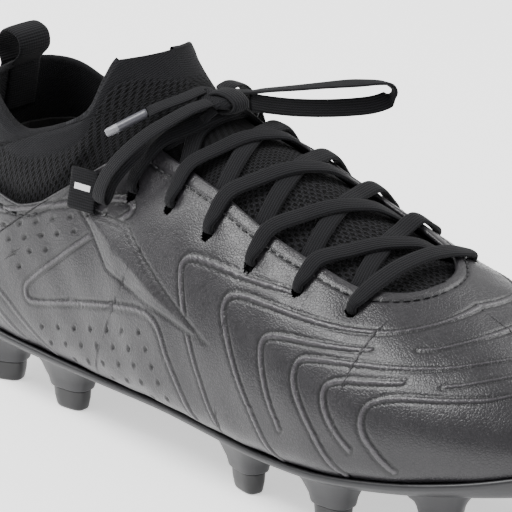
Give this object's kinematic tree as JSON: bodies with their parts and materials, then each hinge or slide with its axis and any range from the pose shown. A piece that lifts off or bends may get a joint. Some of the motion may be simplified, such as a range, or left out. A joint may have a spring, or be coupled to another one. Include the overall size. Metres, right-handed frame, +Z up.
{
  "type": "soccer cleat",
  "caption": "Low-cut firm-ground football boot: laced leather upper over a knitted sock collar, moulded sole plate with bladed studs, and a removable sockliner.",
  "frame": {"origin": "On the ground under the middle of the shoe's length and width, level with the lowest stud tips.", "axes": "+X runs from heel to toe, +Y towards the inner (medial) side of this right shoe, +Z up. The shoe stands on its studs."},
  "size_m": [0.2806, 0.1127, 0.1263],
  "materials": {
    "plate_tpu": "injection-moulded TPU, satin",
    "stud_tip_tpu": "harder injection-moulded TPU, satin black",
    "upper_leather": "fine-grained coated leather, satin",
    "knit_fabric": "warp-knitted polyester with rows of holes",
    "stiffener_board": "thermoformed sheet, matte",
    "heel_lining_fabric": "brushed microfibre",
    "insole_board_card": "pressed fibre board",
    "sockliner_foam": "EVA foam faced with a brushed knit",
    "lace_webbing": "flat woven polyester, ribbed along its length",
    "aglet_plastic": "crimped acetate film",
    "heel_tape": "grosgrain ribbon, ribbed across",
    "tongue_film": "heat-pressed film, smooth"
  },
  "bodies": {
    "shoe": {"outsole_plate": "plate_tpu", "stud_heel_lateral_rear": "stud_tip_tpu", "stud_heel_medial_rear": "stud_tip_tpu", "stud_heel_lateral_front": "stud_tip_tpu", "stud_heel_medial_front": "stud_tip_tpu", "stud_forefoot_lateral_rear": "stud_tip_tpu", "stud_forefoot_medial_rear": "stud_tip_tpu", "stud_forefoot_lateral_mid": "stud_tip_tpu", "stud_forefoot_medial_mid": "stud_tip_tpu", "stud_forefoot_lateral_front": "stud_tip_tpu", "stud_forefoot_medial_front": "stud_tip_tpu", "stud_forefoot_centre": "stud_tip_tpu", "upper_skin": "upper_leather", "knit_bootie": "knit_fabric", "heel_counter": "stiffener_board", "toe_puff": "stiffener_board", "heel_lining": "heel_lining_fabric", "insole_board": "insole_board_card", "lace": "lace_webbing", "lace_knot": "lace_webbing", "bow_loop_lateral": "lace_webbing", "bow_loop_medial": "lace_webbing", "lace_end_lateral": "lace_webbing", "lace_end_medial": "lace_webbing", "aglet_lateral": "aglet_plastic", "aglet_medial": "aglet_plastic", "pull_tab_tail_outer": "heel_tape", "pull_tab_tail_inner": "heel_tape", "flag_label": "heel_tape", "tongue_patch": "tongue_film"},
    "sockliner": {"sockliner": "sockliner_foam"},
    "pull_tab": {"pull_tab": "heel_tape"}
  },
  "joints": [
    {"name": "sockliner_lift", "type": "hinge", "parent": "shoe", "child": "sockliner", "pos_m": [0.1265, 0, 0.032], "axis": [0, 1, 0], "range_deg": [0, 8]},
    {"name": "pull_tab_lean", "type": "hinge", "parent": "shoe", "child": "pull_tab", "pos_m": [-0.1276, 0, 0.1046], "axis": [0, 1, 0], "range_deg": [-15, 15]}
  ]
}
